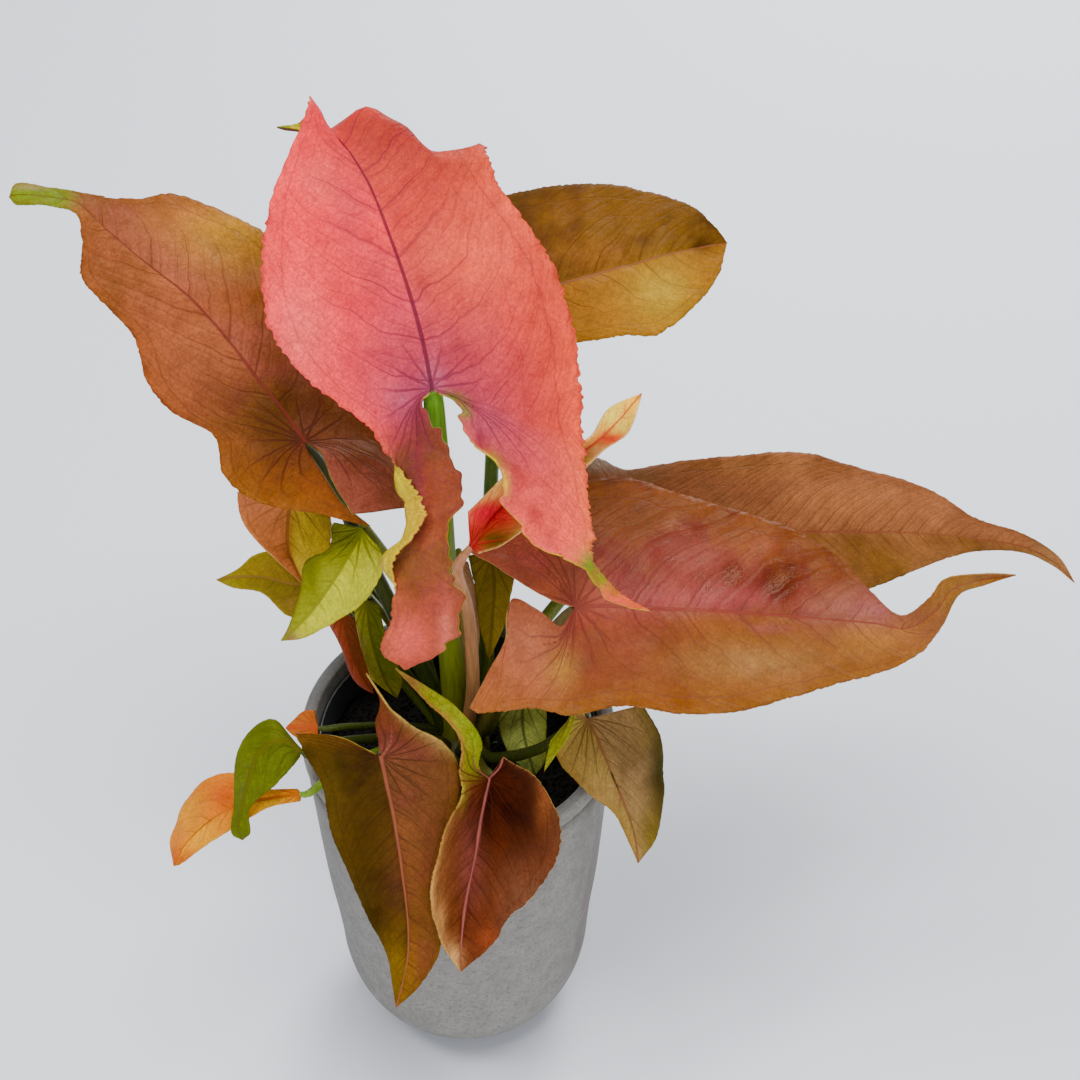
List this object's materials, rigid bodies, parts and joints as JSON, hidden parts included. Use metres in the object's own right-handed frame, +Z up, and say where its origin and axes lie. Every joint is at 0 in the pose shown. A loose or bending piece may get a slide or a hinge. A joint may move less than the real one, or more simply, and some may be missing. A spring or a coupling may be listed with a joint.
{
  "type": "potted arrowhead plant",
  "caption": "Potted arrowhead plant: pink, copper and olive arrow-shaped leaves on slender stalks rise from dark soil in a tapering light grey pot with a rounded lip.",
  "frame": {"origin": "centre of the pot's flat base, on the pot's axis", "axes": "+Z up along the pot's axis; the side the plant shows to a viewer faces -Y; +X is to that viewer's right, the way the longest leaves reach"},
  "size_m": [0.308, 0.1705, 0.315],
  "materials": {
    "pot": "satin glaze, mottled",
    "inner_pot": "matte",
    "soil": "rough, loose",
    "stems": "semi-gloss",
    "leaf_pink": "semi-gloss",
    "leaf_copper": "semi-gloss",
    "leaf_olive": "semi-gloss",
    "leaf_rose": "semi-gloss",
    "leaf_brown": "semi-gloss",
    "leaf_young": "semi-gloss",
    "leaf_hanging": "semi-gloss",
    "leaf_cupped": "semi-gloss",
    "leaf_folded": "semi-gloss",
    "leaf_orange": "semi-gloss",
    "leaf_lime": "semi-gloss",
    "leaf_tab": "semi-gloss",
    "leaf_pale": "semi-gloss",
    "leaf_blush": "semi-gloss",
    "leaf_pointed": "semi-gloss",
    "leaf_strip": "semi-gloss",
    "leaf_sheath": "semi-gloss",
    "leaf_narrow": "semi-gloss",
    "leaf_shaded": "semi-gloss",
    "leaf_grey": "semi-gloss"
  },
  "bodies": {
    "root": {"pot": "pot", "inner_pot": "inner_pot", "soil": "soil", "stems": "stems", "leaf_pink": "leaf_pink", "leaf_copper": "leaf_copper", "leaf_olive": "leaf_olive", "leaf_rose": "leaf_rose", "leaf_brown": "leaf_brown", "leaf_young": "leaf_young", "leaf_hanging": "leaf_hanging", "leaf_cupped": "leaf_cupped", "leaf_folded": "leaf_folded", "leaf_orange": "leaf_orange", "leaf_lime": "leaf_lime", "leaf_tab": "leaf_tab", "leaf_pale": "leaf_pale", "leaf_blush": "leaf_blush", "leaf_pointed": "leaf_pointed", "leaf_strip": "leaf_strip", "leaf_sheath": "leaf_sheath", "leaf_narrow": "leaf_narrow", "leaf_shaded": "leaf_shaded", "leaf_grey": "leaf_grey"}
  },
  "joints": []
}
